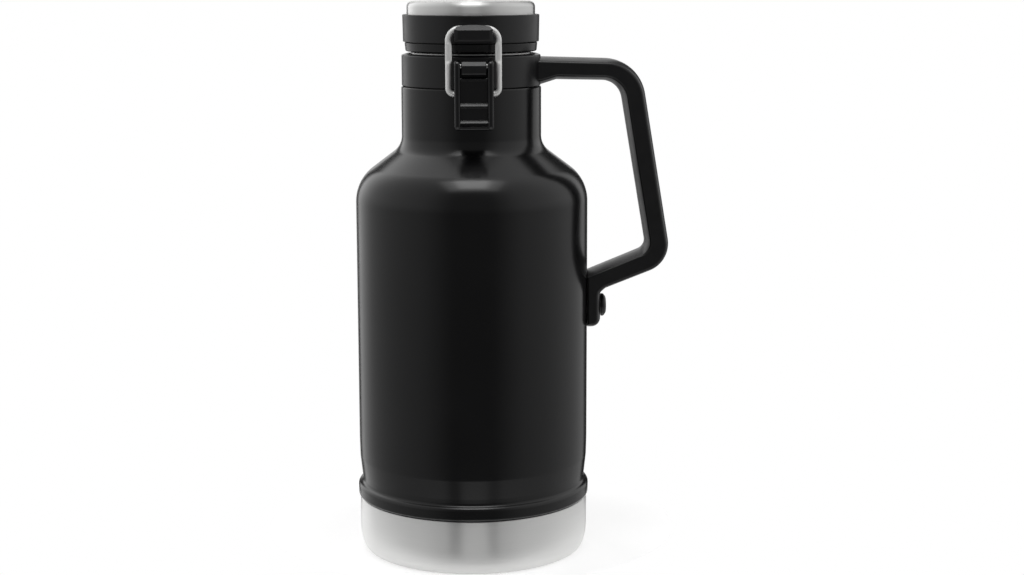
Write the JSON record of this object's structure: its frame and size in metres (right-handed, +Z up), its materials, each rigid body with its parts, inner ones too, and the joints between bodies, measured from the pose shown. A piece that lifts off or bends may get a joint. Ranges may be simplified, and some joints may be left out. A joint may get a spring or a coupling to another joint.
{
  "type": "growler",
  "caption": "Double-wall steel growler for carrying beer, black with a bare steel base, a side handle, and a hinged insulated lid held shut by a wire-bail lever latch.",
  "frame": {"origin": "centre of the underside, on the vessel's axis", "axes": "+Z up along the vessel's axis, +X towards the handle, -Y towards the latch, +Y towards the lid's hinge"},
  "size_m": [0.1647, 0.1228, 0.2893],
  "materials": {
    "black_coat": "satin powder coat",
    "brushed_steel": "fine brushed",
    "plain_steel": "plain mill",
    "bright_wire": "bright drawn wire",
    "matte_black": "fine moulded texture",
    "satin_black": "satin moulded",
    "silicone": "soft matt",
    "foam": "rigid foam"
  },
  "bodies": {
    "vessel": {"outer_shell": "black_coat", "inner_vessel": "brushed_steel", "inner_bottom": "brushed_steel", "outer_bottom": "plain_steel", "vacuum_seal": "plain_steel", "getter": "plain_steel", "base_cup": "brushed_steel", "handle": "matte_black", "handle_boss": "plain_steel", "handle_screw": "plain_steel", "handle_washer": "plain_steel", "handle_screw_cap": "matte_black", "latch_bracket": "matte_black", "lever_pin": "plain_steel", "hinge_bracket": "matte_black", "hinge_pin": "plain_steel"},
    "lid": {"lid_ring": "matte_black", "lid_body": "satin_black", "lid_cap": "brushed_steel", "lid_foam": "foam", "plug_base": "satin_black", "lid_gasket": "silicone", "lid_catch": "matte_black", "lid_hinge_arm": "matte_black"},
    "lever": {"latch_lever": "satin_black"},
    "bail": {"latch_bail": "bright_wire"}
  },
  "joints": [
    {"name": "lid_hinge", "type": "hinge", "parent": "vessel", "child": "lid", "pos_m": [0, 0.041, 0.265], "axis": [-1, 0, 0], "range_deg": [0, 105]},
    {"name": "lever_pivot", "type": "hinge", "parent": "vessel", "child": "lever", "pos_m": [0, -0.042, 0.2574], "axis": [-1, 0, 0], "range_deg": [0, 135]},
    {"name": "bail_pivot", "type": "hinge", "parent": "lever", "child": "bail", "pos_m": [0, -0.0402, 0.2435], "axis": [-1, 0, 0], "range_deg": [-315, 0], "deforming": ["latch_bail"]}
  ],
  "couplings": [
    {"joint": "bail_pivot", "follows": "lever_pivot", "ratio": -2.3333}
  ]
}
